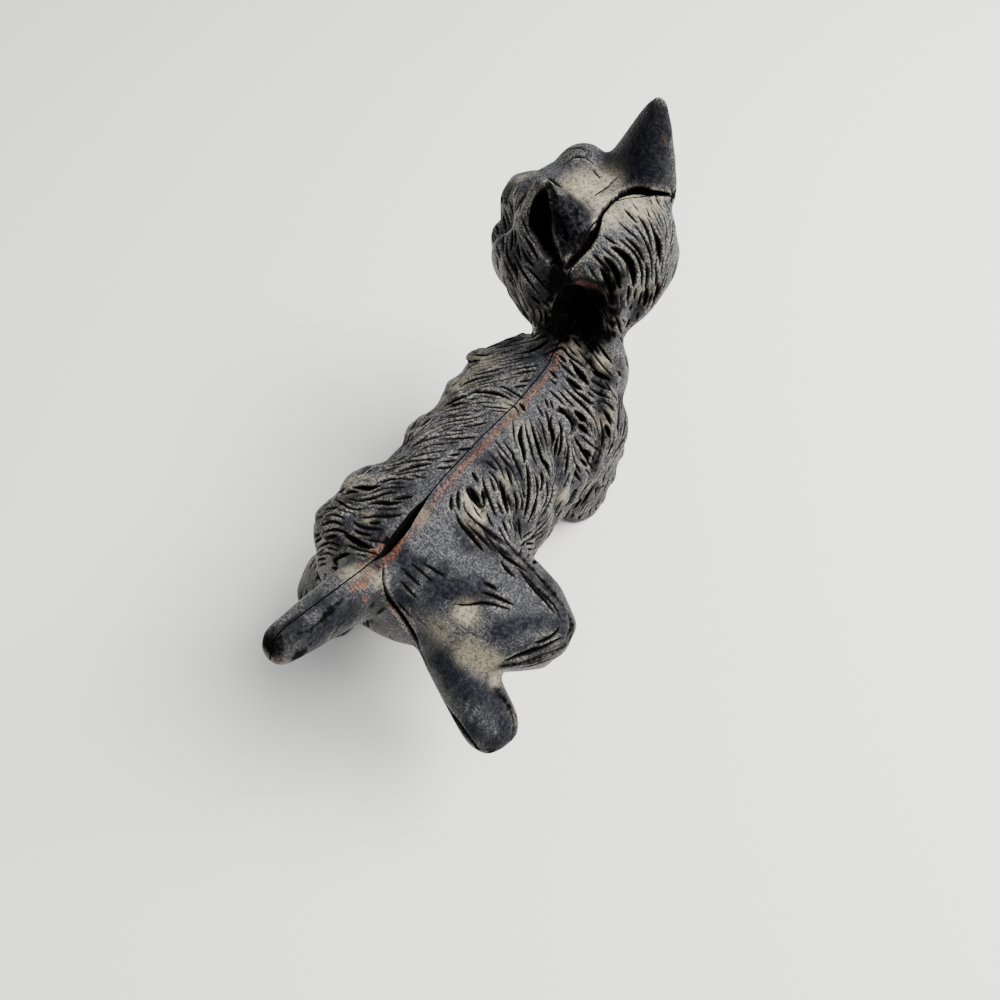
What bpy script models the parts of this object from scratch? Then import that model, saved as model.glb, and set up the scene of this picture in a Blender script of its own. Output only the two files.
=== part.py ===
"""A small doorstop in the shape of a Scottish terrier, cast in iron.

The dog stands on both fore paws and the left hind paw, lifts the right hind leg and looks
over its left shoulder. It was cast as a left and a right half that meet along an upright
plane through the back, so it is two solids with the seam between them.

Every place and size of the figure is a number of parts, with 142 parts to its length.
The dog faces -Y, its left side is +X, and it stands on Z = 0.
"""

from math import cos, pi, radians, sin

import bmesh
import bpy
import numpy as np
from mathutils import Matrix, Vector

LENGTH = 0.142                 # from the front of the ruff to the tip of the tail
SEAM_GAP = 0.0003              # between the two castings where they fit well
SEAM_OPEN = 0.0014             # where the seam gapes over the loin
SOLE_DEPTH = 0.0012            # ground off the paws, so that they stand flat
CLAY = 0.0013                  # grain of the modelled surface
FACES_OF_HALF = 4350           # most triangles in one casting

PART = LENGTH / 142.0          # the unit that the figure is set out in
RING_SIDES = 28

LOCK_WIDTH = 7.6               # one lock of the coat, in parts
LOCK_HEIGHT = 6.0
LOCK_PITCH = 8.6               # from one lock to the next along the flank
LOCK_TURNS = radians(30.0)     # how far down the flank a lock runs
LOCK_TRAILS = 10.0             # how far it sweeps to the rear

HEAD_TURN = radians(66.0)      # how far the dog looks round to its left
HEAD_CENTRE = Vector((5.5, -57.5, 88.0))
EAR_SPREAD = 11.8              # from the middle of the head to the middle of an ear
EAR_HEIGHTS = 16.0, 23.0       # the left ear is laid back, the right one stands up
EAR_AHEAD = -1.5, -0.2
EAR_WIDTHS = 17.0, 21.0
EAR_DEPTH = 11.5
EAR_WALL = 3.2
EAR_TIP = 0.2                  # width left at the tip, as a share
EAR_LEANS = 3.0, 5.0           # outwards, from root to tip
EAR_OUTWARD = radians(122.0), radians(60.0)   # how far each hollow turns from straight ahead

SEAM_ROUTE = ((60.0, 0.0), (-56.0, 0.0), (-70.0, -8.5), (-95.0, -8.5))
GAPE_FROM, GAPE_TO, GAPE_FLOOR = 16.0, 35.0, 62.0

UP = Vector((0, 0, 1))
FORWARD = Vector((sin(HEAD_TURN), -cos(HEAD_TURN), 0))
HEAD_LEFT = Vector((cos(HEAD_TURN), sin(HEAD_TURN), 0))


def clear_scene():
    for thing in list(bpy.data.objects):
        bpy.data.objects.remove(thing, do_unlink=True)


def iron(name, colour):
    """Black enamel over sand-cast iron, worn to a grey sheen."""
    finish = bpy.data.materials.new(name)
    finish.use_nodes = True
    shader = finish.node_tree.nodes["Principled BSDF"]
    shader.inputs["Base Color"].default_value = (*colour, 1.0)
    shader.inputs["Roughness"].default_value = 0.48
    shader.inputs["Metallic"].default_value = 0.35
    return finish


class Clay:
    """The closed forms of the figure, piled up in one mesh before they are merged."""

    def __init__(self):
        self.mesh = bmesh.new()

    def skin(self, rings):
        """Closes a row of rings, each a list of points, into one form."""
        rows = [[self.mesh.verts.new(point * PART) for point in ring] for ring in rings]
        count = len(rows[0])
        for low, high in zip(rows, rows[1:]):
            for i in range(count):
                j = (i + 1) % count
                self.mesh.faces.new((low[i], low[j], high[j], high[i]))
        self.mesh.faces.new(rows[0][::-1])
        self.mesh.faces.new(rows[-1])

    def sweep(self, stations, across, power=2.0):
        """A form along stations of (centre, half width, half height), square to its path."""
        centres = [Vector(centre) for centre, _, _ in stations]
        rings = []
        for i, (_, wide, high) in enumerate(stations):
            ahead = centres[min(i + 1, len(centres) - 1)] - centres[max(i - 1, 0)]
            ahead.normalize()
            side = (across - ahead * across.dot(ahead)).normalized()
            top = side.cross(ahead)
            rings.append([centres[i] + side * (wide * rounded(cos, t, power))
                          + top * (high * rounded(sin, t, power)) for t in turn()])
        self.skin(rings)

    def lump(self, centre, along, side, length, width, height, taper=0.0):
        """An egg: its point is towards along by the share taper."""
        along = along.normalized()
        side = (side - along * side.dot(along)).normalized()
        out = along.cross(side)
        made = bmesh.ops.create_icosphere(self.mesh, subdivisions=3, radius=1.0)
        for vert in made["verts"]:
            x, y, z = vert.co
            narrow = 1.0 - taper * x
            vert.co = (Vector(centre) + along * (x * length / 2)
                       + side * (y * narrow * width / 2)
                       + out * (z * narrow * height / 2)) * PART


def turn():
    return [2 * pi * i / RING_SIDES for i in range(RING_SIDES)]


def rounded(wave, angle, power):
    """A sine or cosine drawn towards the corners of a rounded oblong."""
    value = wave(angle)
    return np.sign(value) * abs(value) ** (2.0 / power)


TRUNK = (                      # y, middle's x and height, half width, half height
    (-51.0, 1.0, 50.0, 7.0, 9.0),
    (-47.5, 0.5, 49.5, 15.5, 17.5),
    (-41.0, 1.0, 48.5, 20.0, 22.5),
    (-31.0, 2.5, 47.5, 20.0, 22.8),
    (-16.0, 3.0, 48.5, 19.0, 22.5),
    (-1.0, 2.2, 50.5, 18.5, 23.5),
    (13.0, 2.2, 53.0, 19.0, 23.0),
    (25.0, 2.0, 56.0, 20.0, 21.0),
    (32.0, 0.5, 60.5, 18.0, 15.8),
    (36.5, 0.0, 62.0, 13.0, 11.8),
    (39.5, 0.0, 63.0, 6.5, 6.5),
)
TRUNK_POWER = 2.35


def trunk(clay):
    stations = [((x, y, z), wide, high) for y, x, z, wide, high in TRUNK]
    clay.sweep(stations, Vector((1, 0, 0)), TRUNK_POWER)


def on_trunk(y, angle, side):
    """The point of the trunk's skin at y, angle down from the back, and its outward line."""
    rows = np.array(TRUNK)
    x, z, wide, high = (float(np.interp(y, rows[:, 0], rows[:, k])) for k in (1, 2, 3, 4))
    point = Vector((x + side * wide * rounded(sin, angle, TRUNK_POWER), y,
                    z + high * rounded(cos, angle, TRUNK_POWER)))
    outward = Vector((side * sin(angle) / wide, 0.0, cos(angle) / high)).normalized()
    return point, outward


def coat(clay):
    """Rows of locks that leave the back sideways and sweep down and to the rear."""
    rows = ((30.0, 0.62), (52.0, 0.86), (74.0, 1.0), (94.0, 1.0), (112.0, 0.9))
    for side, last in ((1, 27.0), (-1, 2.0)):
        for row, (down, size) in enumerate(rows):
            y = -44.0 + (row % 2) * LOCK_PITCH / 2
            while y <= last:
                lock(clay, y, radians(down), side, size)
                y += LOCK_PITCH


def lock(clay, y, angle, side, size):
    """One lock: narrow at its root, full past its middle, with its tip standing proud."""
    stations = []
    for share, full in ((0.0, 0.35), (0.25, 0.75), (0.55, 1.0), (0.85, 0.8), (1.0, 0.3)):
        trail = LOCK_TRAILS * share ** 1.3
        point, outward = on_trunk(y + trail, angle + LOCK_TURNS * share, side)
        lift = LOCK_HEIGHT * size * (0.5 * share - 0.2)
        stations.append((point + outward * lift, LOCK_WIDTH / 2 * size * full,
                         LOCK_HEIGHT / 2 * size * full))
    clay.sweep(stations, Vector((0, 1, 0)))


def bib(clay):
    """The longer hair that hangs in front of the chest."""
    for row, (z, wide, y) in enumerate(((63.0, 8.5, -48.0), (51.0, 10.5, -51.0),
                                        (38.0, 9.0, -49.0))):
        for place in (-1.0, 0.0, 1.0):
            x = wide * place + (row % 2) * 3.0
            clay.lump((x, y + abs(place) * 3.0, z), Vector((0.12 * place, -0.12, -1)),
                      Vector((1, 0, 0)), 18.0, 8.5, 7.0, 0.15)


def feathering(clay, centre, radius, low, high, turns):
    """Hair that hangs down a leg: rows of locks round it at each of the angles in turns."""
    for row, z in enumerate((low, (low + high) / 2, high)):
        for turn_by in turns:
            angle = radians(turn_by + row * 18.0)
            out = Vector((cos(angle), sin(angle), 0))
            spot = Vector((centre[0], centre[1], z)) + out * (radius + 0.12 * (z - low))
            clay.lump(spot, Vector((0, 0, -1)) + out * 0.22, out.cross(UP), 14.0, 7.0, 5.0, 0.12)


def toes(clay, centre, facing):
    side = facing.cross(UP)
    for place in (-1.0, 0.0, 1.0):
        spot = Vector(centre) + side * (place * 4.9) - facing * (abs(place) * 1.6)
        clay.lump(spot, facing, side, 8.5, 6.0, 6.6)


def neck(clay):
    clay.sweep([((1.0, -36.0, 57.0), 13.5, 12.0), ((0.0, -44.0, 66.0), 12.5, 11.0),
                ((0.0, -50.0, 73.0), 11.5, 10.0), ((1.5, -54.0, 80.0), 11.5, 10.5),
                ((4.0, -57.0, 90.0), 13.0, 12.0)], Vector((1, 0, 0)))


def head_point(ahead, left, up):
    return HEAD_CENTRE + FORWARD * ahead + HEAD_LEFT * left + UP * up


def head(clay):
    """Skull with its ruff, muzzle, nose, beard and brows, along the way that the dog looks."""
    clay.sweep([(head_point(-19.5, 0, -3), 8.0, 8.0), (head_point(-16.0, 0, -2), 14.5, 12.5),
                (head_point(-9.0, 0, -1), 19.0, 15.0), (head_point(0.0, 0, 0), 19.5, 15.0),
                (head_point(8.0, 0, 0), 16.0, 14.0), (head_point(14.5, 0, -1), 11.5, 11.5),
                (head_point(19.0, 0, -3), 8.0, 8.0)], HEAD_LEFT, 2.2)
    clay.sweep([(head_point(12.0, 0, -3), 11.0, 9.0), (head_point(20.0, 0, -5), 9.5, 8.5),
                (head_point(27.0, 0, -6.5), 8.0, 7.5), (head_point(30.0, 0, -7), 5.0, 5.0)],
               HEAD_LEFT, 2.5)
    clay.lump(head_point(30.0, 0, -3.5), FORWARD, HEAD_LEFT, 6.0, 7.0, 5.5)
    clay.sweep([(head_point(20.0, 0, -9), 10.5, 9.0), (head_point(21.0, 0, -16), 11.0, 8.5),
                (head_point(19.5, 0, -23), 9.0, 7.0), (head_point(17.5, 0, -29), 4.5, 3.5)],
               HEAD_LEFT, 2.2)
    for place in (-1.0, -0.35, 0.35, 1.0):
        clay.lump(head_point(22.5 - abs(place) * 3.0, place * 9.0, -19.0 + abs(place) * 3.0),
                  Vector((0, 0, -1)) - FORWARD * 0.15 - HEAD_LEFT * place * 0.25, HEAD_LEFT,
                  24.0, 8.0, 9.0, 0.2)
    for side, ahead, up, size in ((1, 13.0, 7.6, 1.0), (-1, 13.0, 9.8, 1.25)):
        clay.lump(head_point(ahead, side * 6.2, up), FORWARD - UP * 0.7 + HEAD_LEFT * side * 0.5,
                  HEAD_LEFT, 14.0 * size, 10.0 * size, 8.0 * size, -0.1)
        ruff(clay, side)


def ruff(clay, side):
    """Cheek hair that falls from under an ear to the throat, in overlapping locks."""
    for ahead, left, up, back in ((11.0, 14.5, -9.0, 0.35), (3.0, 16.0, -9.0, 0.1),
                                  (-5.0, 15.5, -9.0, -0.05), (-12.0, 10.5, -9.0, 0.15),
                                  (-15.0, 3.5, -9.0, 0.35)):
        fall = -UP - HEAD_LEFT * side * 0.34 + FORWARD * back
        clay.lump(head_point(ahead, side * left, up), fall, FORWARD, 27.0, 11.0, 9.0, 0.1)


def ear(clay, side):
    """A pricked ear: a hollow half cone, its wall of even thickness until it nears the tip."""
    which = 0 if side > 0 else 1
    outward = EAR_OUTWARD[which]
    half_width = EAR_WIDTHS[which] / 2
    root = head_point(EAR_AHEAD[which], side * EAR_SPREAD, 7.5)
    tip = root + HEAD_LEFT * (side * EAR_LEANS[which]) + FORWARD * 1.5 + UP * EAR_HEIGHTS[which]
    opening = FORWARD * cos(outward) + HEAD_LEFT * (side * sin(outward))
    across = UP.cross(opening).normalized()
    steps, around = 10, 14
    rings = []
    for i in range(steps + 1):
        share = i / steps
        shrink = EAR_TIP + (1.0 - EAR_TIP) * (1.0 - share ** 1.25)
        wide = max(half_width * shrink - EAR_WALL / 2, 0.4)
        deep = max(EAR_DEPTH * shrink - EAR_WALL / 2, 0.3)
        wall = min(EAR_WALL / 2, half_width * shrink * 0.6)
        middle = root.lerp(tip, share) + opening * (deep * 0.5)
        outer, inner = [], []
        for k in range(around):
            angle = radians(-84.0 + 168.0 * k / (around - 1))
            line = across * sin(angle) - opening * cos(angle)
            spot = middle + across * (wide * sin(angle)) - opening * (deep * cos(angle))
            outer.append(spot + line * wall)
            inner.append(spot - line * min(wall, wide * 0.8, deep * 0.8))
        rings.append(outer + inner[::-1])
    clay.skin(rings)


def fore_leg(clay, side):
    out = 11.0 if side > 0 else 9.0
    clay.sweep([((side * (out + 2.0), -36.0, 48.0), 10.5, 13.0),
                ((side * (out + 1.5), -39.0, 34.0), 10.0, 11.5),
                ((side * (out + 0.5), -41.5, 20.0), 8.8, 9.5),
                ((side * out, -42.5, 9.0), 8.2, 8.8),
                ((side * out, -43.0, -1.0), 8.6, 9.2)], Vector((1, 0, 0)), 2.2)
    clay.lump((side * (out + 2.5), -45.5, 56.0 - side * 5.0), Vector((0, -0.1, -1)), FORWARD,
              27.0, 10.0, 10.0)
    clay.lump((side * out, -45.5, 3.6), Vector((0, -1, 0)), Vector((1, 0, 0)), 19.0, 17.5, 12.0)
    toes(clay, (side * out, -53.0, 3.0), Vector((0, -1, 0)))
    outer = (0.0, 55.0, -55.0) if side > 0 else (180.0, 125.0, 235.0)
    feathering(clay, (side * (out + 0.5), -40.5), 7.6, 15.0, 33.0, outer)


def standing_leg(clay):
    """The left hind leg: haunch, shank, hock, pastern and paw."""
    clay.lump((15.0, 21.0, 47.0), Vector((0.3, 0.15, -1)), Vector((0, 1, 0)), 42.0, 31.0, 22.0)
    clay.sweep([((21.0, 22.0, 36.0), 9.0, 12.0), ((26.5, 28.0, 26.0), 8.0, 9.5),
                ((29.5, 32.0, 18.0), 7.2, 7.5), ((30.0, 32.0, 9.0), 6.8, 7.0),
                ((30.0, 30.5, -1.0), 8.0, 8.5)], Vector((1, 0, 0)), 2.2)
    clay.lump((29.5, 27.0, 3.6), Vector((0.1, -1, 0)), Vector((1, 0, 0)), 20.0, 16.5, 12.0)
    toes(clay, (30.0, 19.2, 3.0), Vector((0.1, -1, 0)).normalized())
    feathering(clay, (19.5, 22.0), 5.6, 32.0, 50.0, (-40.0, 0.0, 40.0))


def raised_leg(clay):
    """The right hind leg, lifted sideways: thigh and shank as one plate, edged with hair, and foot."""
    clay.sweep([((2.0, 16.5, 58.5), 14.0, 14.0), ((-9.0, 19.5, 58.0), 15.5, 12.5),
                ((-18.0, 21.5, 56.5), 15.5, 10.0), ((-27.0, 21.0, 55.0), 12.5, 7.5),
                ((-34.0, 18.5, 54.0), 8.5, 6.5), ((-38.5, 17.0, 53.0), 4.0, 4.0)],
               Vector((0, 1, 0)), 2.4)
    for row in range(3):
        clay.sweep([((-21.0, 8.0 + row * 0.8, 57.0 - row * 3.2), 1.6, 1.8),
                    ((-30.0, 10.5 + row * 0.8, 56.0 - row * 3.0), 2.0, 2.0),
                    ((-37.6 + row * 0.6, 15.5, 55.0 - row * 3.0), 2.0, 2.0),
                    ((-36.0, 24.5 - row * 0.6, 52.0 - row * 2.6), 1.8, 1.8),
                    ((-29.0, 29.5, 50.0 - row * 2.2), 1.4, 1.4)], UP)
    clay.sweep([((-12.0, 29.5, 55.0), 7.5, 7.0), ((-20.0, 34.5, 51.5), 7.2, 6.5),
                ((-28.0, 38.8, 47.8), 6.8, 6.0), ((-34.5, 41.8, 44.8), 6.6, 5.8),
                ((-38.0, 43.3, 43.3), 4.2, 4.0)], Vector((-0.4, 0.9, 0)), 2.3)


def tail(clay):
    clay.sweep([((0.0, 30.0, 65.0), 7.5, 7.0), ((0.0, 37.5, 70.5), 6.0, 6.5),
                ((0.0, 45.0, 75.5), 5.0, 5.4), ((0.0, 53.0, 80.5), 4.3, 4.8),
                ((0.0, 60.0, 85.0), 3.4, 3.9)], Vector((1, 0, 0)), 2.6)


def nape():
    """The deep hollow behind the left ear, between the cheek's hair and the back of the head."""
    hollow = Clay()
    inward = (FORWARD * 0.75 - HEAD_LEFT * 0.66).normalized()
    hollow.lump(head_point(-18.0, 14.5, -4.0), UP, inward.cross(UP), 25.0, 14.0, 17.0)
    mesh = bpy.data.meshes.new("nape")
    hollow.mesh.to_mesh(mesh)
    hollow.mesh.free()
    cutter = bpy.data.objects.new("nape", mesh)
    bpy.context.collection.objects.link(cutter)
    return cutter


def merged(clay, name):
    """One skin over all the forms, with the hollow of the nape taken out."""
    lump = bpy.data.meshes.new(name)
    bmesh.ops.recalc_face_normals(clay.mesh, faces=clay.mesh.faces)
    clay.mesh.to_mesh(lump)
    clay.mesh.free()
    figure = bpy.data.objects.new(name, lump)
    bpy.context.collection.objects.link(figure)
    skin = figure.modifiers.new("skin", "REMESH")
    skin.mode = "VOXEL"
    skin.voxel_size = CLAY
    cutter = nape()
    dig = figure.modifiers.new("dig", "BOOLEAN")
    dig.operation = "DIFFERENCE"
    dig.object = cutter
    soften = figure.modifiers.new("soften", "SMOOTH")
    soften.factor = 0.5
    soften.iterations = 2
    count = sum(len(face.vertices) - 2 for face in evaluated(figure).data.polygons)
    thin = figure.modifiers.new("thin", "DECIMATE")
    thin.ratio = min(1.0, 2 * FACES_OF_HALF / count)
    made = bpy.data.meshes.new_from_object(evaluated(figure))
    bpy.data.objects.remove(figure, do_unlink=True)
    bpy.data.objects.remove(cutter, do_unlink=True)
    return made


def evaluated(thing):
    return thing.evaluated_get(bpy.context.evaluated_depsgraph_get())


def stand(mesh):
    """Puts the middle of the figure's box on the origin, with its flat soles at Z = 0."""
    points = np.array([vert.co for vert in mesh.vertices])
    low, high = points.min(axis=0), points.max(axis=0)
    return Vector((-(low[0] + high[0]) / 2, -(low[1] + high[1]) / 2, -low[2] - SOLE_DEPTH))


def side_block(name, side):
    """What one casting keeps: all that lies on its side of the seam and above the floor."""
    reach = 200.0 * PART
    half = side * SEAM_GAP / 2
    route = [Vector((x * PART + half, y * PART, 0)) for y, x in SEAM_ROUTE]
    route[0].y = reach
    route[-1].y = -reach
    outline = route + [Vector((side * reach, -reach, 0)), Vector((side * reach, reach, 0))]
    return prism(name, outline, 0.0, reach)


def prism(name, outline, low, high):
    shape = bmesh.new()
    bottom = [shape.verts.new((point.x, point.y, low)) for point in outline]
    face = shape.faces.new(bottom)
    top = bmesh.ops.extrude_face_region(shape, geom=[face])["geom"]
    for vert in (item for item in top if isinstance(item, bmesh.types.BMVert)):
        vert.co.z = high
    bmesh.ops.recalc_face_normals(shape, faces=shape.faces)
    mesh = bpy.data.meshes.new(name)
    shape.to_mesh(mesh)
    shape.free()
    block = bpy.data.objects.new(name, mesh)
    bpy.context.collection.objects.link(block)
    block.hide_render = True
    block.display_type = "WIRE"
    return block


def gape(name):
    """The slit where the seam stands open over the loin, widest in the middle."""
    middle = (GAPE_FROM + GAPE_TO) / 2 * PART
    half = SEAM_OPEN / 2
    outline = [Vector((0, GAPE_FROM * PART, 0)), Vector((half, middle, 0)),
               Vector((0, GAPE_TO * PART, 0)), Vector((-half, middle, 0))]
    return prism(name, outline, GAPE_FLOOR * PART, 100.0 * PART)


def casting(name, mesh, block, finish):
    half = bpy.data.objects.new(name, mesh.copy())
    half.data.name = name
    bpy.context.collection.objects.link(half)
    half.data.materials.append(finish)
    keep = half.modifiers.new("side of the seam", "BOOLEAN")
    keep.operation = "INTERSECT"
    keep.object = block
    keep.use_self = True
    return half


def build():
    clear_scene()
    clay = Clay()
    for form in (trunk, coat, bib, neck, head, standing_leg, raised_leg, tail):
        form(clay)
    for side in (1, -1):
        ear(clay, side)
        fore_leg(clay, side)
    mesh = merged(clay, "figure")
    shift = stand(mesh)
    mesh.transform(Matrix.Translation(shift))
    slit = gape("gape")
    left, right = side_block("left side", 1), side_block("right side", -1)
    for block in (left, right):
        opened = block.modifiers.new("seam stands open", "BOOLEAN")
        opened.operation = "DIFFERENCE"
        opened.object = slit
    for helper in (slit, left, right):
        helper.data.transform(Matrix.Translation((shift.x, shift.y, 0)))
    casting("left_casting", mesh, left, iron("iron left", (0.028, 0.029, 0.033)))
    casting("right_casting", mesh, right, iron("iron right", (0.032, 0.032, 0.035)))
    bpy.data.meshes.remove(mesh)


build()
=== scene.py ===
from math import cos, pi, radians, sin

import bmesh
import bpy
import numpy as np
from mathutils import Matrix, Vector, kdtree, noise
from mathutils.bvhtree import BVHTree


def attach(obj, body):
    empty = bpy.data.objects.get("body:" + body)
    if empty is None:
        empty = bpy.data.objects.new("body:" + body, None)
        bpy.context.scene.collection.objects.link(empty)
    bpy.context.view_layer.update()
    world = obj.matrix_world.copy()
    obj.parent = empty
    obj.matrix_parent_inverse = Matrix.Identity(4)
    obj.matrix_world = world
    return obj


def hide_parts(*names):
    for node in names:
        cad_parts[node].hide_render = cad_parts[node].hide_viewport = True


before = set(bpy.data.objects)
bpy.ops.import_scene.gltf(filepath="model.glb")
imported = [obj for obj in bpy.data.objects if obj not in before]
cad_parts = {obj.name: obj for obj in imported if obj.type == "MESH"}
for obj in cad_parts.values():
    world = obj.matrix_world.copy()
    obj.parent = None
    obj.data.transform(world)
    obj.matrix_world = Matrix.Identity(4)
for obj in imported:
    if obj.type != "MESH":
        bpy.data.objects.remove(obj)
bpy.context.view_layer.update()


# The camera: held over the dog's left haunch, looking down its back at 60 degrees. The picture
# is square, and a point in it is counted from its upper left corner. MM turns mm to metres.
MM = 0.001
PICTURE = 1000.0
MIDDLE = 500.0
LENS = 27.36
SENSOR = 36.0
FOCAL = LENS / SENSOR * PICTURE

view = bpy.data.cameras.new("view")
view.lens = LENS
view.sensor_width = SENSOR
view.clip_start = 0.01
camera = bpy.data.objects.new("view", view)
bpy.context.collection.objects.link(camera)
camera.location = (-0.05706, 0.08329, 0.21528)
camera.rotation_euler = (radians(30.0), 0.0, radians(-146.0))
bpy.context.scene.camera = camera
bpy.context.view_layer.update()
eye = np.array(camera.location) / MM
turned = np.array(camera.matrix_world.to_3x3())
view_right, view_up, view_ahead = turned[:, 0], turned[:, 1], -turned[:, 2]


# The dog's whole form, cast in iron as two halves: both halves' solids in one closed skin,
# rubbed down as the foundry's pattern is, and fine enough to carve.
bpy.ops.object.select_all(action="DESELECT")
copies = []
for name in ("left_casting", "right_casting"):
    copy = bpy.data.objects.new("form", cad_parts[name].data.copy())
    bpy.context.collection.objects.link(copy)
    copy.select_set(True)
    copies.append(copy)
form = copies[0]
bpy.context.view_layer.objects.active = form
bpy.ops.object.join()
form.data.materials.clear()
bpy.ops.object.mode_set(mode="EDIT")
bpy.ops.mesh.select_all(action="SELECT")
bpy.ops.mesh.remove_doubles(threshold=0.00001)
bpy.ops.object.mode_set(mode="OBJECT")


def remesh(thing, size, rubs):
    """Gives a thing a skin of facets this many mm wide, and rubs it down this many times."""
    skin = thing.modifiers.new("skin", "REMESH")
    skin.mode = "VOXEL"
    skin.voxel_size = size * MM
    rub = thing.modifiers.new("rub", "SMOOTH")
    rub.factor = 0.5
    rub.iterations = rubs
    bpy.context.view_layer.objects.active = thing
    bpy.ops.object.modifier_apply(modifier="skin")
    bpy.ops.object.modifier_apply(modifier="rub")


def read_points(mesh):
    """A mesh's points in mm, a row for each."""
    flat = np.empty(len(mesh.vertices) * 3, np.float32)
    mesh.vertices.foreach_get("co", flat)
    return flat.reshape(-1, 3).astype(float) / MM


def read_normals(mesh):
    """The way out of the surface at each of a mesh's points."""
    flat = np.empty(len(mesh.vertices) * 3, np.float32)
    mesh.vertices.foreach_get("normal", flat)
    return flat.reshape(-1, 3).astype(float)


def write_points(mesh, points):
    """Moves a mesh's points to places given in mm."""
    mesh.vertices.foreach_set("co", (points * MM).astype(np.float32).ravel())
    mesh.update()


def read_edges(mesh):
    """The two points of each of a mesh's edges."""
    flat = np.empty(len(mesh.edges) * 2, np.int32)
    mesh.edges.foreach_get("vertices", flat)
    return flat.reshape(-1, 2)


def blurred(values, edges, times):
    """Values averaged with their neighbours' a number of times."""
    count = len(values)
    ends = np.concatenate((edges[:, 0], edges[:, 1]))
    others = np.concatenate((edges[:, 1], edges[:, 0]))
    around = np.bincount(ends, minlength=count)
    soft = values
    for _ in range(times):
        if soft.ndim == 1:
            total = np.bincount(ends, weights=soft[others], minlength=count)
            soft = 0.5 * soft + 0.5 * total / around
        else:
            total = np.stack([np.bincount(ends, weights=soft[others, k], minlength=count)
                              for k in range(soft.shape[1])], 1)
            soft = 0.5 * soft + 0.5 * total / around[:, None]
    return soft


COARSE = 0.7
GRAIN = 0.32
remesh(form, COARSE, 8)
remesh(form, GRAIN, 14)


# Gouge cuts, as the carver of the casting's pattern made them. A cut is a path over the surface
# that swells from its ends. Where two cross, the deeper one holds.
CELL = 4.0


class Carver:
    """A mesh, with how far each of its points is to be cut back or raised, in mm."""

    def __init__(self, mesh):
        self.mesh = mesh
        self.points = read_points(mesh)
        self.normals = read_normals(mesh)
        self.cut = np.zeros(len(self.points))
        self.raised = np.zeros(len(self.points))
        self.low = self.points.min(0) - CELL
        cells = ((self.points - self.low) / CELL).astype(int)
        self.size = cells.max(0) + 3
        key = (cells[:, 0] * self.size[1] + cells[:, 1]) * self.size[2] + cells[:, 2]
        self.order = np.argsort(key, kind="stable")
        keys = key[self.order]
        total = int(self.size.prod())
        self.starts = np.searchsorted(keys, np.arange(total + 1))
        self.tree = BVHTree.FromPolygons([tuple(p) for p in self.points],
                                         [tuple(f.vertices) for f in mesh.polygons])

    def near(self, low, high):
        """The points in the cells that a box touches."""
        a = np.maximum(((low - self.low) / CELL).astype(int), 0)
        b = np.minimum(((high - self.low) / CELL).astype(int), self.size - 1)
        found = []
        for i in range(a[0], b[0] + 1):
            for j in range(a[1], b[1] + 1):
                row = (i * self.size[1] + j) * self.size[2]
                found.append(self.order[self.starts[row + a[2]]:self.starts[row + b[2] + 1]])
        return np.concatenate(found)

    def stroke(self, path, width, depth, blunt=False, raise_it=False):
        """Presses a gouge of this greatest width and depth along path, all in mm."""
        reach = width * 0.5 + 0.3
        nearby = self.near(path.min(0) - reach, path.max(0) + reach)
        if not len(nearby) or len(path) < 2:
            return
        spots = self.points[nearby]
        a, b = path[:-1], path[1:]
        ab = b - a
        lengths = np.linalg.norm(ab, axis=1)
        along = np.concatenate(([0.0], np.cumsum(lengths)))
        to = spots[:, None, :] - a[None]
        t = np.clip((to * ab[None]).sum(2) / np.maximum(lengths ** 2, 1e-9)[None], 0.0, 1.0)
        gap = np.linalg.norm(to - t[..., None] * ab[None], axis=2)
        best = gap.argmin(1)
        rows = np.arange(len(spots))
        apart = gap[rows, best]
        share = (along[best] + t[rows, best] * lengths[best]) / along[-1]
        if blunt:
            swell = np.clip(np.minimum(share, 1.0 - share) * 8.0, 0.0, 1.0) * 0.35 + 0.65
        else:
            swell = np.sin(pi * np.clip(share, 0, 1)) ** 0.55
        half = np.maximum(width * 0.5 * swell, 0.05)
        inside = np.clip(1.0 - (apart / half) ** 2, 0.0, 1.0)
        press = depth * swell * inside ** 1.2
        target = self.raised if raise_it else self.cut
        target[nearby] = np.maximum(target[nearby], press)

    def apply(self):
        """Cuts and raises the mesh."""
        moved = self.points + self.normals * (self.raised - self.cut)[:, None]
        write_points(self.mesh, moved)


def pixel_ray(x, y):
    """The way from the camera through a picture point."""
    line = view_ahead * FOCAL + view_right * (x - MIDDLE) + view_up * (MIDDLE - y)
    return line / np.linalg.norm(line)


def pairs(knots):
    """A row of numbers as points of two."""
    return list(zip(knots[::2], knots[1::2]))


def smooth_line(knots, step):
    """Points about a step apart on a smooth curve through the knots."""
    knots = np.array(knots, float)
    ends = np.vstack((2 * knots[0] - knots[1], knots, 2 * knots[-1] - knots[-2]))
    line = []
    for p, q, r, s in zip(ends, ends[1:], ends[2:], ends[3:]):
        count = max(2, int(np.linalg.norm(r - q) / step))
        for t in np.arange(count) / count:
            line.append(0.5 * (2 * q + (r - p) * t + (2 * p - 5 * q + 4 * r - s) * t ** 2
                               + (3 * q - p - 3 * r + s) * t ** 3))
    line.append(knots[-1])
    return np.array(line)


LONGEST_JUMP = 5.0
NARROWEST = 0.75


def seen_path(carver, knots, step=2.5):
    """Where the lines of sight through a row of picture points meet the surface."""
    path = []
    for x, y in smooth_line(knots, step):
        spot = carver.tree.ray_cast(Vector(eye), Vector(pixel_ray(x, y)))[0]
        if spot is None:
            continue
        spot = np.array(spot)
        if path and np.linalg.norm(spot - path[-1]) > LONGEST_JUMP:
            break
        path.append(spot)
    return np.array(path)


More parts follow.
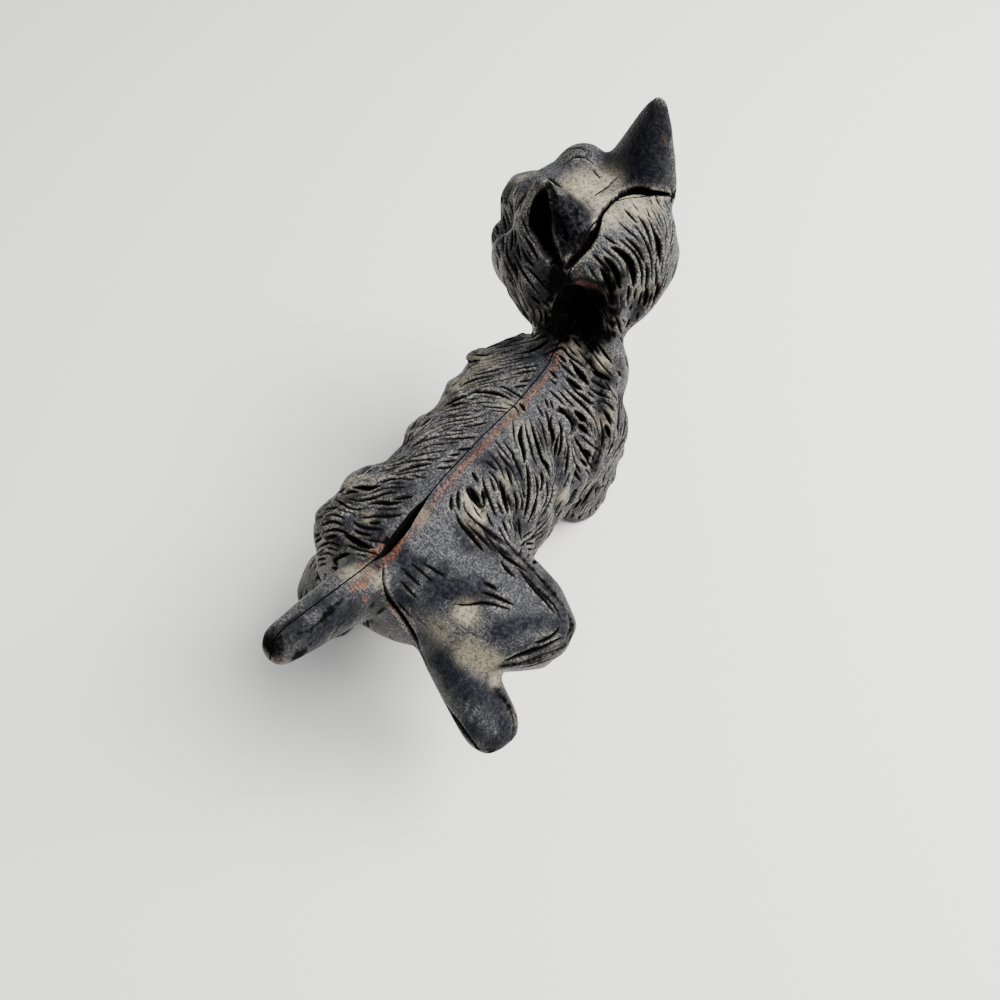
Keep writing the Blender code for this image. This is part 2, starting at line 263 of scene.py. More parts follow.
def carve_seen(carver, strokes, depth_share, blunt=False, raise_it=False, deepest=1.5):
    """Cuts a table of strokes given in picture points; returns their paths on the surface."""
    paths = []
    for width, *flat in strokes:
        path = seen_path(carver, pairs(flat))
        if len(path) < 2:
            continue
        far = float(np.mean((path - eye) @ view_ahead))
        wide = width * far / FOCAL
        carver.stroke(path, max(wide, NARROWEST), min(wide * depth_share, deepest), blunt, raise_it)
        paths.append(path)
    return paths


# The hollows, each a width and then the picture points that it passes through: the cup of the
# left ear, the dark nape under the back of the head, and the small ones, such as the curl over
# the stifle. The crevice runs behind the head, and the creases part ear, thigh and paw.
EAR_CUP = (
    (26, 545, 186, 541, 203, 540, 222, 543, 240, 552, 255, 562, 268),
)
NAPE = (
    (50, 562, 290, 572, 305, 580, 325, 584, 336),
)
HOLLOWS = (
    (12, 466, 486, 472, 493, 478, 500, 483, 510),
    (18, 554, 188, 558, 204, 561, 222, 567, 244),
    (12, 556, 410, 566, 411, 573, 420, 575, 429, 570, 434),
    (11, 579, 424, 585, 430, 589, 431),
    (13, 578, 488, 571, 500, 563, 511),
)
CREVICE = (
    (9, 566, 268, 576, 257, 588, 244, 597, 229),
    (5, 590, 242, 598, 226, 601, 214, 610, 203, 622, 195, 640, 192, 656, 193, 670, 195),
    (8, 620, 193, 636, 190, 652, 193),
)
CREASES = (
    (3, 548, 177, 562, 188, 578, 202, 590, 216, 598, 228),
    (6, 384, 560, 384, 580, 390, 600, 404, 620, 414, 636, 422, 655, 430, 672),
    (5, 438, 690, 447, 706, 458, 722, 469, 737, 480, 751),
    (6, 456, 516, 463, 526, 472, 536, 479, 545, 484, 552),
    (8, 318, 574, 321, 585, 313, 596, 303, 603),
)

# The locks that stand out of the coat, which make its edge lumpy, and the pad of the left ear.
LOCKS = (
    (20, 590, 352, 606, 368, 620, 380), (20, 602, 390, 616, 402, 626, 412),
    (20, 608, 426, 614, 440, 608, 456), (20, 600, 446, 596, 462, 590, 474),
    (16, 530, 420, 540, 444, 550, 468), (16, 556, 424, 560, 444, 560, 466),
    (16, 510, 470, 517, 492, 517, 512), (16, 538, 476, 541, 496, 534, 518),
    (18, 640, 214, 656, 232, 662, 256), (16, 650, 300, 640, 314, 630, 326),
    (18, 500, 366, 474, 376, 452, 385), (18, 476, 394, 456, 400, 440, 408),
    (18, 440, 434, 420, 442, 402, 450), (18, 398, 476, 370, 482, 346, 489),
)
PAD = (
    (40, 556, 192, 570, 208, 580, 226, 574, 244),
)

# The left flank's edge in the picture, tuft by tuft from the neck to the haunch.
EDGE = (
    535, 321, 518, 333, 495, 342, 478, 346, 467, 352, 462, 361, 464, 370, 452, 376, 443, 386,
    439, 397, 436, 406, 420, 414, 410, 424, 402, 434, 399, 446, 396, 456, 380, 460, 360, 467,
    346, 477, 337, 488, 335, 495, 322, 503, 315, 513, 314, 523, 312, 533, 314, 545, 318, 556,
)

# The strands of the coat that show in the photo, each a gouge cut: its width, then the picture
# points that it passes through.
LEFT_FLANK = (
    (3, 551, 335, 530, 341, 508, 346, 488, 350), (6, 549, 340, 538, 347, 527, 351, 514, 354),
    (3, 520, 350, 503, 354, 486, 359, 472, 361), (3, 536, 356, 515, 359, 495, 363, 470, 369),
    (3, 530, 362, 510, 366, 490, 371, 467, 377), (3, 505, 372, 488, 376, 470, 381, 456, 389),
    (3, 522, 375, 505, 379, 485, 383, 464, 388, 450, 396),
    (8, 512, 400, 500, 394, 484, 391, 469, 393, 455, 399, 443, 407),
    (5, 470, 402, 458, 404, 447, 408, 438, 414), (3, 500, 403, 480, 402, 462, 405),
    (3, 482, 410, 465, 411, 450, 415, 436, 421, 424, 430), (3, 478, 419, 463, 423, 449, 425),
    (5, 452, 424, 438, 429, 425, 436, 413, 446), (4, 436, 418, 424, 427, 414, 436, 406, 447),
    (4, 468, 432, 452, 434, 438, 436, 424, 440, 412, 447),
    (3, 462, 441, 446, 443, 430, 445, 416, 452, 405, 461),
    (3, 448, 450, 430, 452, 412, 457, 398, 463),
    (4, 445, 457, 428, 459, 410, 461, 392, 465, 378, 468), (7, 432, 463, 418, 465, 404, 469, 391, 474),
    (3, 395, 470, 383, 474, 370, 477, 357, 482), (4, 375, 473, 362, 476, 350, 480),
    (4, 415, 480, 400, 478, 386, 480, 375, 484), (6, 381, 485, 371, 488, 360, 488, 350, 488),
    (5, 398, 492, 385, 493, 374, 497, 360, 500, 348, 498), (6, 404, 501, 391, 503, 378, 502, 366, 504),
    (3, 360, 492, 350, 492, 343, 495), (4, 368, 507, 355, 509, 343, 504, 334, 499),
    (3, 356, 515, 345, 511, 333, 508, 322, 511), (4, 345, 519, 332, 514, 320, 519, 314, 527),
    (4, 345, 526, 332, 522, 320, 527, 313, 535), (4, 350, 534, 335, 530, 322, 534, 314, 543),
    (4, 342, 546, 330, 543, 320, 546, 316, 552), (8, 375, 548, 362, 544, 350, 538, 342, 533),
    (4, 372, 535, 360, 533, 352, 528), (4, 335, 556, 325, 553, 318, 556),
    (6, 352, 553, 340, 556, 334, 562), (3, 492, 385, 476, 389, 462, 396),
)
RIGHT_FLANK = (
    (3, 583, 341, 594, 355, 604, 368, 614, 378), (3, 577, 349, 588, 362, 599, 374, 611, 383),
    (7, 573, 366, 580, 374, 588, 383, 590, 385), (4, 568, 358, 577, 369, 586, 377),
    (6, 592, 371, 601, 376, 610, 380), (3, 590, 379, 601, 386, 613, 391),
    (3, 588, 386, 599, 394, 612, 399), (6, 566, 377, 574, 384, 583, 390),
    (3, 561, 372, 573, 388, 586, 400, 598, 410), (5, 577, 392, 587, 399, 596, 405),
    (4, 560, 383, 573, 396, 586, 408, 595, 420, 600, 438), (3, 558, 390, 568, 400, 576, 408),
    (8, 574, 410, 582, 418, 589, 428), (3, 604, 380, 615, 396, 620, 410),
    (3, 600, 400, 610, 406, 618, 414), (3, 600, 408, 609, 415, 615, 425),
    (6, 604, 412, 609, 418, 612, 426), (6, 605, 424, 608, 431, 609, 438),
    (4, 600, 418, 603, 432, 602, 448, 597, 460), (3, 614, 428, 614, 440, 609, 452, 602, 464),
    (4, 621, 425, 620, 440, 613, 452, 606, 466, 598, 480), (3, 624, 392, 622, 402, 622, 412),
    (5, 552, 413, 551, 425, 553, 440, 551, 452), (5, 559, 420, 562, 432, 561, 446, 557, 458),
    (5, 566, 438, 569, 450, 567, 466, 565, 478), (4, 571, 440, 573, 454, 577, 466, 581, 474),
    (5, 574, 436, 581, 448, 588, 459, 593, 470), (6, 583, 449, 588, 453, 592, 457),
    (5, 580, 458, 584, 463, 588, 467), (3, 576, 432, 588, 442, 598, 450, 603, 458),
    (8, 522, 424, 521, 438, 524, 450, 525, 463),
    (4, 529, 416, 533, 430, 537, 445, 541, 458, 546, 470),
    (4, 536, 414, 542, 424, 545, 436, 548, 450, 552, 464, 553, 480), (4, 545, 408, 549, 420, 549, 432),
    (5, 540, 458, 547, 466, 551, 478), (6, 541, 472, 543, 482, 541, 492),
    (7, 526, 462, 529, 475, 530, 490, 528, 505, 524, 518),
    (5, 533, 470, 537, 482, 537, 497, 533, 512, 527, 526),
    (5, 546, 480, 548, 492, 545, 504, 537, 515, 529, 526),
    (4, 553, 484, 552, 497, 547, 508, 538, 520, 527, 533), (4, 540, 522, 531, 532, 521, 541, 513, 546),
    (5, 545, 530, 533, 538, 520, 546), (4, 551, 512, 546, 522, 537, 532, 527, 540),
    (4, 556, 505, 552, 518, 546, 528), (4, 560, 430, 557, 440, 555, 452, 553, 466, 552, 476),
    (3, 562, 470, 559, 482, 555, 494), (3, 558, 462, 556, 476, 553, 488),
    (5, 482, 476, 485, 486, 489, 497, 493, 508, 497, 518), (3, 489, 475, 493, 484, 495, 492),
    (7, 500, 478, 503, 490, 506, 503, 508, 514), (5, 511, 468, 516, 478, 520, 488, 522, 500, 522, 512),
    (5, 507, 492, 511, 503, 512, 514), (5, 514, 490, 517, 502, 517, 514),
    (4, 505, 463, 509, 474, 513, 487), (4, 496, 448, 503, 458, 510, 466, 516, 476),
    (4, 488, 470, 497, 480, 500, 492), (7, 483, 488, 484, 498, 483, 508),
    (4, 464, 498, 465, 508, 472, 517, 482, 526, 495, 538, 508, 547),
    (5, 592, 480, 584, 490, 579, 500, 575, 510), (5, 602, 474, 594, 486, 587, 497, 580, 507),
    (4, 604, 484, 597, 496, 589, 507), (4, 557, 492, 553, 502, 555, 508),
    (4, 502, 520, 507, 530, 511, 540), (4, 512, 520, 515, 530, 516, 540),
)
RUFFS = (
    (4, 664, 199, 671, 214, 673, 232, 669, 252, 664, 272),
    (4, 671, 199, 677, 215, 678, 235, 674, 256, 668, 276, 660, 294),
    (3, 657, 203, 664, 216, 667, 230, 665, 246),
    (8, 655, 232, 659, 243, 661, 254, 660, 266), (3, 650, 205, 657, 218, 662, 230),
    (3, 642, 208, 650, 221, 655, 236, 657, 252, 656, 272), (3, 636, 213, 645, 226, 651, 242, 654, 258),
    (4, 630, 220, 640, 231, 648, 246, 652, 262, 652, 282), (5, 624, 236, 633, 243, 640, 252, 645, 264),
    (4, 618, 238, 628, 246, 637, 256, 642, 270, 642, 288),
    (10, 610, 246, 621, 252, 630, 262, 634, 275, 634, 288), (6, 646, 262, 648, 275, 646, 290),
    (6, 647, 288, 646, 298, 643, 307), (5, 659, 282, 657, 293, 653, 303),
    (5, 655, 262, 657, 275, 656, 288), (9, 603, 256, 611, 264, 617, 275, 620, 290),
    (6, 629, 285, 629, 297, 627, 306), (5, 636, 288, 635, 300), (9, 600, 268, 606, 278, 610, 292, 612, 305),
    (3, 668, 262, 664, 280, 657, 297, 648, 312), (4, 621, 295, 622, 308, 618, 318),
    (5, 612, 312, 618, 322, 622, 334), (6, 600, 305, 607, 318, 613, 330), (5, 630, 318, 626, 328),
    (3, 504, 208, 509, 222, 515, 240, 522, 258, 532, 275, 543, 292),
    (3, 509, 212, 515, 228, 522, 244, 532, 260, 542, 275, 549, 288),
    (3, 516, 222, 524, 238, 534, 254, 545, 268, 552, 282), (3, 520, 215, 528, 232, 538, 247),
    (4, 514, 254, 520, 268, 529, 282, 540, 296), (3, 503, 215, 506, 230, 511, 248, 518, 266, 526, 280),
    (5, 499, 235, 500, 250, 505, 265, 512, 278), (4, 506, 240, 507, 255, 512, 268, 517, 280),
    (5, 513, 262, 516, 272, 518, 284), (4, 496, 225, 499, 240, 500, 252), (6, 530, 296, 537, 302, 540, 305),
    (3, 536, 305, 541, 315, 540, 325), (3, 527, 300, 533, 310, 535, 320),
)
THIGH = (
    (3, 396, 566, 408, 576, 420, 588), (3, 408, 562, 422, 573, 436, 585), (3, 398, 580, 408, 590, 418, 600),
    (3, 422, 562, 436, 570, 450, 578), (3, 420, 578, 434, 586, 446, 596), (3, 432, 590, 446, 598, 458, 602),
    (3, 470, 572, 482, 579, 494, 587), (3, 478, 582, 492, 588, 506, 596), (4, 480, 594, 496, 599, 512, 607),
    (3, 452, 603, 468, 604, 486, 603), (3, 460, 588, 474, 592, 488, 598), (2, 430, 622, 444, 630, 458, 640),
    (2, 446, 616, 460, 626, 474, 634), (2, 462, 628, 476, 636, 490, 642), (2, 410, 610, 420, 620, 430, 632),
)
BROWS = (
    (4, 512, 186, 508, 196, 504, 204),
    (3, 520, 184, 514, 196, 510, 210), (3, 526, 190, 521, 204, 520, 218),
    (3, 556, 158, 566, 150, 580, 148, 592, 152),
    (3, 562, 168, 572, 158, 584, 157, 592, 162), (3, 550, 164, 560, 155, 572, 150),
    (2, 588, 200, 598, 193, 607, 187, 614, 180, 620, 176), (2, 592, 168, 597, 174, 602, 180),
)
LEG = (
    (4, 466, 514, 478, 522, 490, 531, 505, 542, 517, 550), (4, 482, 528, 490, 540, 500, 550, 514, 560),
    (6, 494, 545, 505, 556, 516, 563, 528, 572), (5, 500, 560, 508, 570, 516, 577),
    (3, 517, 552, 530, 567, 545, 584, 560, 601), (4, 512, 562, 525, 575, 540, 590, 555, 606, 562, 622),
    (5, 520, 572, 532, 586, 545, 600, 556, 614), (3, 525, 560, 540, 577, 556, 596, 568, 614),
    (3, 568, 612, 571, 626, 566, 640), (5, 560, 626, 555, 634, 545, 640, 533, 644),
    (5, 565, 636, 552, 643, 540, 649, 526, 655, 510, 661),
    (4, 566, 646, 552, 652, 536, 658, 518, 664, 500, 667),
    (3, 562, 654, 548, 660, 530, 666, 510, 669), (6, 540, 646, 528, 652, 514, 658, 500, 664),
    (5, 480, 592, 492, 595, 504, 600, 516, 606), (5, 483, 582, 490, 585, 498, 590),
    (4, 452, 604, 466, 605, 484, 603, 500, 606, 514, 611), (3, 400, 566, 410, 576, 422, 588),
    (3, 410, 562, 424, 574, 436, 586), (3, 400, 580, 410, 592, 418, 600), (3, 422, 562, 434, 570, 446, 578),
    (3, 512, 706, 517, 720, 518, 734, 513, 746), (3, 506, 700, 513, 716, 513, 734, 507, 748),
    (3, 496, 690, 506, 702, 512, 716), (3, 396, 600, 404, 610, 412, 618),
)
TAIL = (
    (4, 343, 598, 332, 608, 318, 624, 304, 634), (3, 372, 620, 352, 632, 332, 644, 314, 652),
    (3, 302, 612, 290, 620, 280, 628), (3, 350, 615, 338, 628, 330, 640), (3, 262, 640, 270, 650, 277, 660),
)

# How the surface moves to meet the flank's edge, all in picture points: how far round the edge
# it is looked at, how deep a belt moves along, how far along the edge a spot reaches, and the
# furthest move out and in.
MARGIN = 40
BELT = 34.0
BESIDE = 8.0
FURTHEST_OUT, FURTHEST_IN = 12.0, 22.0


def fit_edge(points, knots):
    """Moves the surface near a traced edge so that its outline in the picture meets it."""
    line = smooth_line(pairs(knots), 3.0)
    ways = np.gradient(line, axis=0)
    ways = ways / np.linalg.norm(ways, axis=1)[:, None]
    outs = np.stack((ways[:, 1], -ways[:, 0]), 1)
    if outs[len(outs) // 2][0] > 0:
        outs = -outs
    to = points - eye
    far = to @ view_ahead
    flat = np.stack((MIDDLE + FOCAL * (to @ view_right) / far,
                     MIDDLE - FOCAL * (to @ view_up) / far), 1)
    low, high = line.min(0) - MARGIN, line.max(0) + MARGIN
    near = np.nonzero(((flat > low) & (flat < high)).all(1))[0]
    spots = flat[near]
    nearest = np.concatenate([np.linalg.norm(part[:, None] - line[None], axis=2).argmin(1)
                              for part in np.array_split(spots, 60)])
    over = ((spots - line[nearest]) * outs[nearest]).sum(1)
    aside = np.abs(((spots - line[nearest]) * ways[nearest]).sum(1))
    excess = np.zeros(len(line))
    for k in range(len(line)):
        mine = (np.abs(nearest - k) <= 1) & (aside < 4.0)
        if mine.any():
            excess[k] = over[mine].max()
    excess = np.clip(excess, -FURTHEST_OUT, FURTHEST_IN)
    excess = np.convolve(np.pad(excess, 1, "edge"), (0.25, 0.5, 0.25), "valid")
    steps = np.arange(len(line))
    excess *= np.clip(np.minimum(steps, steps[::-1]) / 4.0, 0.0, 1.0)
    share = np.clip((over + BELT) / (BELT + np.maximum(excess[nearest], 0.0)), 0.0, 1.0)
    share = share * share * (3.0 - 2.0 * share) * (aside < BESIDE)
    move = -(excess[nearest] * share)[:, None] * outs[nearest] * (far[near] / FOCAL)[:, None]
    points[near] += move[:, :1] * view_right - move[:, 1:] * view_up


spots = read_points(form.data)
fit_edge(spots, EDGE)
write_points(form.data, spots)

# The deep shapes are carved and rubbed down first, then the sharp cuts. The number after each
# table is how deep its cuts are for their width.
DEEP_HOLLOW = 2.2
carver = Carver(form.data)
carve_seen(carver, EAR_CUP, 0.62, deepest=3.0)
carve_seen(carver, NAPE, 0.35, deepest=2.0)
carve_seen(carver, HOLLOWS, 0.75, deepest=DEEP_HOLLOW)
carve_seen(carver, LOCKS, 0.24, raise_it=True)
carve_seen(carver, PAD, 0.26, raise_it=True, deepest=2.4)
hollow_deep = np.clip(carver.cut / DEEP_HOLLOW, 0.0, 1.0)
hollow_points = carver.points - carver.normals * carver.cut[:, None]
carver.apply()
remesh(form, GRAIN, 3)

carver = Carver(form.data)
carve_seen(carver, CREVICE, 2.2, blunt=True, deepest=2.4)
carve_seen(carver, CREASES, 0.9, deepest=1.4)
laid = []
for strokes in (LEFT_FLANK, RIGHT_FLANK, RUFFS):
    laid += carve_seen(carver, strokes, 0.85)
carve_seen(carver, LEG, 0.8)
carve_seen(carver, THIGH, 0.28)
carve_seen(carver, BROWS, 0.7)
carve_seen(carver, TAIL, 0.45)


# Between those strands and all over the sides that the photo doesn't reach, the coat goes on
# in the same hand: cuts a strand apart that follow the lie of the hair.
laid_tree = kdtree.KDTree(sum(len(path) for path in laid))
laid_ways = []
for path in laid:
    ways = np.gradient(path, axis=0)
    for spot, way in zip(path, ways / np.linalg.norm(ways, axis=1)[:, None]):
        laid_tree.insert(spot, len(laid_ways))
        laid_ways.append(way)
laid_tree.balance()
SHIFT = np.array([0.937, 9.387, 1.075])     # the middle of the figure's own set-out, in mm
HEAD_TURN = radians(66.0)
HEAD_AHEAD = np.array([sin(HEAD_TURN), -cos(HEAD_TURN), 0.0])
HEAD_LEFT = np.array([cos(HEAD_TURN), sin(HEAD_TURN), 0.0])
HEAD_MIDDLE = np.array([5.5, -57.5, 88.0]) + SHIFT
BEYOND_NOSE = 60.0


def face_path(*knots):
    """A path on the face through points given in mm to the left of its middle and above it."""
    path = []
    for left, up in smooth_line(pairs(knots), 0.5):
        start = HEAD_MIDDLE + HEAD_AHEAD * BEYOND_NOSE + HEAD_LEFT * left + np.array([0.0, 0.0, up])
        spot = carver.tree.ray_cast(Vector(start), Vector(-HEAD_AHEAD))[0]
        if spot is not None:
            path.append(np.array(spot))
    return np.array(path)


def lie_of_hair(spot, seen):
    """The way that the hair runs at a point, or None where the iron is smooth."""
    found = laid_tree.find_n(spot, 4)
    if found[0][2] < (3.2 if seen else 5.0):
        first = laid_ways[found[0][1]]
        near = [laid_ways[index] for _, index, _ in found]
        return sum(way * (1.0 if way @ first > 0 else -1.0) for way in near)
    if seen:
        return None
    x, y, z = spot - SHIFT
    from_head = spot - HEAD_MIDDLE
    ahead, left = from_head @ HEAD_AHEAD, from_head @ HEAD_LEFT
    up = from_head[2]
    if z < 1.5:     # the soles
        return None
    if z > 64.0 and y < -33.0:     # the head
        if up > 11.0 or (ahead > 20.0 and abs(left) < 7.0 and up > -15.0):
            return None
        away = HEAD_AHEAD * (0.35 if ahead > 8.0 else -0.1) + HEAD_LEFT * (0.15 * np.sign(left))
        return np.array([0.0, 0.0, -1.0]) + away * (1.0 if up > -8.0 else -0.6)
    if y > 32.0 and z > 60.0:     # the tail
        return None
    if x < -12.0 and y > 3.0 and z > 38.0:     # the lifted thigh
        return None
    side = 1.0 if x > 0 else -1.0
    if y < -44.0:     # the breast
        return np.array([0.15 * side, -0.1, -1.0])
    if z > 62.0:     # the back
        return np.array([0.8 * side, 0.6, -0.2])
    if z > 30.0:     # the flanks, and below them the legs
        return np.array([0.1 * side, 0.55, -1.0])
    return np.array([0.0, 0.12, -1.0])


# Strands that the camera sees are closer together than the others. SEEDS is how many spots are
# tried as the start of one, and `taken` holds what is laid, by cells a strand wide.
STRAND = 1.7
SEEN_STRAND = 1.15
SEEDS = 30000
FROM_TABLE, FROM_FACE, NOBODY = -2, -3, -1
draw = np.random.default_rng(7)
taken = {}


def cell_of(spot):
    return int(spot[0] // STRAND), int(spot[1] // STRAND), int(spot[2] // STRAND)


def crowded(spot, room, own):
    """Whether another strand than our own runs nearer than this room."""
    i, j, k = cell_of(spot)
    x, y, z = float(spot[0]), float(spot[1]), float(spot[2])
    for a in (i - 1, i, i + 1):
        for b in (j - 1, j, j + 1):
            for c in (k - 1, k, k + 1):
                for p, q, r, number in taken.get((a, b, c), ()):
                    if number != own and (p - x) ** 2 + (q - y) ** 2 + (r - z) ** 2 < room * room:
                        return True
    return False


def occupy(path, number):
    """Notes that a strand runs along this path."""
    for spot in path:
        taken.setdefault(cell_of(spot), []).append((*map(float, spot), number))


for path in laid:
    occupy(path, FROM_TABLE)


# The face: deep-set eyes under the brows, a blunt nose with its two holes, the groove below it
# and the line of the mouth. Each is a path, a width, a depth, and whether it stands out.
face = [
    (face_path(-2.5, -6.5, 2.5, -6.5), 7.5, 1.8, True),
    (face_path(0, -10, 0, -16), 1.4, 0.8, False),
    (face_path(-7, -16, -3.5, -17.2, 0, -16.2, 3.5, -17.2, 7, -16), 1.3, 0.8, False),
]
for side in (1.0, -1.0):
    face += [
        (face_path(side * 5.4, 2.2, side * 9.0, 2.8), 4.4, 1.3, False),
        (face_path(side * 6.8, 2.4, side * 7.8, 2.6), 3.0, 1.6, True),
        (face_path(side * 1.9, -7.6, side * 2.6, -7.0), 1.6, 1.1, False),
    ]
for path, wide, tall, raise_it in face:
    if len(path) > 1:
        carver.stroke(path, wide, tall, blunt=True, raise_it=raise_it)
        occupy(path, FROM_FACE)


def in_sight(spot, normal):
    """Whether the camera sees a point of the surface, and not only its edge."""
    to_eye = eye - spot
    far = np.linalg.norm(to_eye)
    to_eye = to_eye / far
    if normal @ to_eye < 0.12:
        return False
    start = spot + normal * 0.3
    return carver.tree.ray_cast(Vector(start), Vector(to_eye), far)[0] is None


def comb(start, seen, room, number):
    """One strand's path both ways from a point, or None if there is no room for it."""
    halves = []
    for sign in (1.0, -1.0):
        spot, path, last = start, [], None
        for _ in range(draw.integers(4, 11)):
            near, normal = carver.tree.find_nearest(spot)[:2]
            spot, normal = np.array(near), np.array(normal)
            way = lie_of_hair(spot, seen)
            if way is None:
                break
            way = way - normal * (way @ normal)
            way = way / max(np.linalg.norm(way), 1e-6)
            if last is not None and way @ last < 0.0:
                way = -way
            last = way
            way = way + np.cross(normal, way) * (0.35 * noise.noise(Vector(spot / 9.0)))
            if path and crowded(spot, room * 0.75, number):
                break
            path.append(spot)
            spot = spot + way * (sign * 1.0)
        halves.append(path)
    path = halves[1][::-1] + halves[0][1:]
    return np.array(path) if len(path) > 3 else None


number = 0
for index in draw.permutation(len(carver.points))[:SEEDS]:
    start, normal = carver.points[index], carver.normals[index]
    if crowded(start, SEEN_STRAND, NOBODY):
        continue
    seen = in_sight(start, normal)
    room = SEEN_STRAND if seen else STRAND
    if lie_of_hair(start, seen) is None or crowded(start, room, NOBODY):
        continue
    path = comb(start, seen, room, number)
    if path is None:
        continue
    occupy(path, number)
    number += 1
    wide = draw.uniform(0.8, 1.4) if seen else draw.uniform(1.0, 1.9)
    carver.stroke(path, wide, wide * draw.uniform(0.34, 0.52))
print("strands", number)
carver.apply()


# Point by point, from how far the carved surface stands from itself blurred, which way it faces and how
# deep it is cut:
# wear and a painted highlight on the crests, painted light on what faces upwards, painted shade in the
# grooves and deep hollows.
STANDS_OUT = 0.2
CUT_DEEP = 0.7
SHADE_FROM = 0.02
NEAR_HOLLOW = 0.8
points, normals, edges = read_points(form.data), read_normals(form.data), read_edges(form.data)
relief = ((points - blurred(points, edges, 14)) * normals).sum(1)
relief = np.clip(relief / STANDS_OUT, -1.0, 1.0)
# How much each point faces upwards, which the enamel uses to paint light on its tops.
upward = np.clip(blurred(normals, edges, 40)[:, 2], 0.0, 1.0)
groove = np.clip(blurred(carver.cut, edges, 1) / CUT_DEEP, 0.0, 1.0)
lookup = kdtree.KDTree(len(hollow_points))
for i, spot in enumerate(hollow_points):
    if hollow_deep[i] > SHADE_FROM:
        lookup.insert(spot, i)
lookup.balance()
# Painted shade: points near the deep carved hollows, and points cut deeper than 1 mm, are to be painted
# black.
painted_shade = np.zeros(len(points))
marked = hollow_points[hollow_deep > SHADE_FROM]
low, high = marked.min(0) - 1, marked.max(0) + 1
for i in np.nonzero(((points > low) & (points < high)).all(1))[0]:
    _, other, far = lookup.find(points[i])
    if far < NEAR_HOLLOW:
        painted_shade[i] = hollow_deep[other]
painted_shade = np.maximum(painted_shade, np.clip(carver.cut - 1.0, 0.0, 1.0))


def patch(x, y, radius):
    """How near each point is to a mark in the picture, from 1 at its middle to 0."""
    spot = carver.tree.ray_cast(Vector(eye), Vector(pixel_ray(x, y)))[0]
    if spot is None:
        return np.zeros(len(points))
    far = np.linalg.norm(points - np.array(spot), axis=1)
    size = radius * np.linalg.norm(np.array(spot) - eye) / FOCAL
    share = np.clip(1.0 - far / size, 0.0, 1.0)
    return share * share * (3.0 - 2.0 * share)


def along(radius, strength, *knots):
    """Marks in a row, close enough to make a streak."""
    line = smooth_line(pairs(knots), radius * 0.6)
    return tuple((x, y, radius, strength) for x, y in line)


def marks(places):
    """How strongly each point is marked by a table of marks: x, y, radius, strength."""
    total = np.zeros(len(points))
    for x, y, radius, strength in places:
        total = np.maximum(total, patch(x, y, radius) * strength)
    return total


# Painted shade, black in the folds and recesses where shade falls.
PAINTED_SHADE_MARKS = (
    *along(10, 0.75, 470, 520, 520, 556, 560, 602, 572, 624, 566, 644, 540, 660, 502, 666),
    *along(10, 0.8, 497, 690, 512, 712, 516, 735, 504, 750, 488, 756, 466, 736, 446, 706),
    *along(9, 0.8, 342, 600, 318, 624, 300, 634, 268, 640),
    *along(10, 0.8, 372, 622, 340, 644, 300, 662),
    *along(8, 0.8, 376, 556, 382, 590, 402, 616, 416, 640),
    *along(10, 1.2, 551, 186, 555, 206, 559, 226, 565, 250),
    *along(10, 0.7, 306, 566, 296, 590, 292, 606),
    *along(13, 0.7, 590, 362, 600, 392, 604, 430, 596, 470),
    *along(14, 1.2, 556, 272, 552, 300, 556, 326, 566, 338),
    *along(16, 1.0, 606, 268, 612, 300, 610, 336),
    *along(8, 0.8, 470, 488, 478, 500, 484, 512),
    *along(12, 0.6, 500, 480, 512, 500, 516, 530),
    (572, 214, 32, 0.75), (580, 234, 26, 0.8),
    (560, 286, 30, 1.3), (572, 300, 46, 1.7), (586, 316, 46, 1.7), (562, 318, 34, 1.4),
    (600, 300, 30, 1.2), (602, 334, 26, 1.1), (592, 344, 22, 1.0), (560, 266, 16, 1.1),
    (612, 262, 20, 0.6), (624, 276, 22, 0.7), (606, 286, 24, 1.0), (574, 250, 12, 0.8),
    (590, 236, 10, 0.8), (492, 752, 12, 0.9), (380, 612, 16, 1.0), (372, 606, 10, 0.9),
    (576, 424, 18, 0.7), (474, 497, 12, 0.9), (386, 542, 8, 1.0), (335, 562, 14, 0.9),
    (270, 644, 28, 1.1), (300, 655, 24, 0.9), (336, 645, 20, 0.8), (600, 440, 18, 0.5),
    (520, 505, 22, 0.5),
    (588, 502, 24, 0.6), (600, 488, 22, 0.6), (500, 480, 16, 0.5), (536, 538, 14, 0.6),
)
